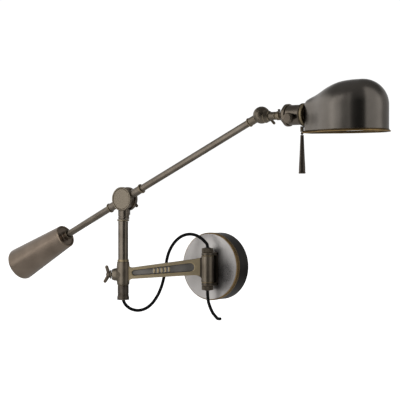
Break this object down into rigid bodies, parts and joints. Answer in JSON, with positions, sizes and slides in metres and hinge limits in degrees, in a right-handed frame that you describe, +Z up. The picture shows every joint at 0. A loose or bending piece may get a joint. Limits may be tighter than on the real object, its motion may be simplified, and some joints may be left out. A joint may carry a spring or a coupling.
{
  "type": "picture light",
  "caption": "Wall picture light: round canopy, hinged cast arm, sliding post and a pivoted boom with a tapered counterweight and a small half-dome shade.",
  "frame": {"origin": "middle of the wall bar's back face, on the wall's plane", "axes": "+Y into the wall, -Y out into the room, +Z up, +X to the right of someone who faces the wall"},
  "size_m": [0.844, 0.1957, 0.4328],
  "materials": {
    "bronze": "satin antique bronze",
    "dark_bronze": "satin dark bronze",
    "canopy_face": "brushed satin",
    "canopy_side": "satin black",
    "shade_bronze": "satin antique bronze",
    "worn_brass": "satin, worn bright at the edges",
    "steel": "plain",
    "insulator": "matt",
    "cord_fabric": "braided",
    "bulb_glass": "frosted"
  },
  "bodies": {
    "canopy": {"wall_bar": "steel", "canopy_drum": "canopy_side", "canopy_cover": "canopy_face", "canopy_screw_top": "steel", "canopy_screw_bottom": "steel", "yoke": "dark_bronze", "yoke_nut": "steel", "pivot_tube": "steel", "pivot_nut_top": "dark_bronze", "pivot_nut_bottom": "dark_bronze", "pivot_washer_top": "worn_brass", "pivot_washer_bottom": "worn_brass", "cord_bush_top": "insulator", "cord_bush_bottom": "insulator", "cord_tail": "cord_fabric"},
    "arm": {"swing_arm": "bronze", "arm_bush_upper": "worn_brass", "arm_bush_lower": "worn_brass", "clamp_felt": "worn_brass", "clamp_pad": "worn_brass", "cord_loop": "cord_fabric"},
    "clamp_screw": {"wing_screw": "dark_bronze"},
    "post": {"post_tube": "bronze", "post_ferrule": "bronze", "post_cord_bush": "insulator", "post_ring": "worn_brass"},
    "head": {"post_head": "bronze", "pivot_disc": "bronze", "pivot_bolt": "steel"},
    "pivot_nut": {"pivot_wing_nut": "dark_bronze"},
    "boom": {"boom_hub": "bronze", "boom_ring_lamp": "worn_brass", "boom_ring_weight": "worn_brass", "boom_tube": "bronze", "boom_ring_end": "worn_brass", "weight_rod": "bronze", "weight_lock_ring": "dark_bronze", "counterweight": "bronze", "counterweight_slug": "steel", "knuckle_base": "bronze"},
    "tilt_screw": {"knuckle_screw": "dark_bronze"},
    "neck": {"knuckle_swivel": "bronze"},
    "lamp": {"neck_ring": "worn_brass", "neck_set_screw": "dark_bronze", "socket_cap": "bronze", "socket_shell": "bronze", "lampholder": "insulator", "fitter_ring_rear": "dark_bronze", "fitter_ring_front": "worn_brass", "fitter_neck": "bronze", "shade": "shade_bronze", "shade_rim": "worn_brass", "shade_lock_ring": "worn_brass", "bulb_base": "steel", "bulb_glass": "bulb_glass", "handle_bracket": "bronze", "handle_joint": "worn_brass", "aiming_handle": "dark_bronze"},
    "switch": {"switch_knob": "bronze"}
  },
  "joints": [
    {"name": "arm_swing", "type": "hinge", "parent": "canopy", "child": "arm", "pos_m": [0.0094, -0.057, -0.004], "axis": [0, 0, 1], "range_deg": [-30, 95]},
    {"name": "clamp_screw_turn", "type": "hinge", "parent": "arm", "child": "clamp_screw", "pos_m": [-0.13221, -0.16566, -0.014], "axis": [-0.7934, -0.6088, 0], "range_deg": [-300, 30]},
    {"name": "post_slide", "type": "slide", "parent": "arm", "child": "post", "axis": [0, 0, 1], "range_m": [-0.068, 0], "deforming": ["cord_loop"]},
    {"name": "post_swivel", "type": "hinge", "parent": "post", "child": "head", "pos_m": [-0.11635, -0.15349, 0.092], "axis": [0, 0, 1], "range_deg": [-90, 90]},
    {"name": "pivot_nut_turn", "type": "hinge", "parent": "head", "child": "pivot_nut", "pos_m": [-0.11635, -0.131, 0.1278], "axis": [0, 1, 0], "range_deg": [-300, 30]},
    {"name": "boom_tilt", "type": "hinge", "parent": "head", "child": "boom", "pos_m": [-0.11635, -0.149, 0.1278], "axis": [0, -1, 0], "range_deg": [-70, 19]},
    {"name": "knuckle_screw_turn", "type": "hinge", "parent": "boom", "child": "tilt_screw", "pos_m": [0.19421, -0.13, 0.2746], "axis": [0, 1, 0], "range_deg": [-300, 30]},
    {"name": "head_tilt", "type": "hinge", "parent": "boom", "child": "neck", "pos_m": [0.19421, -0.149, 0.2746], "axis": [0, -1, 0], "range_deg": [-65, 60]},
    {"name": "head_turn", "type": "hinge", "parent": "neck", "child": "lamp", "pos_m": [0.22921, -0.149, 0.2723], "axis": [1, 0, 0], "range_deg": [-90, 90]},
    {"name": "switch_turn", "type": "hinge", "parent": "lamp", "child": "switch", "pos_m": [0.26471, -0.17, 0.2657], "axis": [0, 1, 0], "continuous": true}
  ]
}
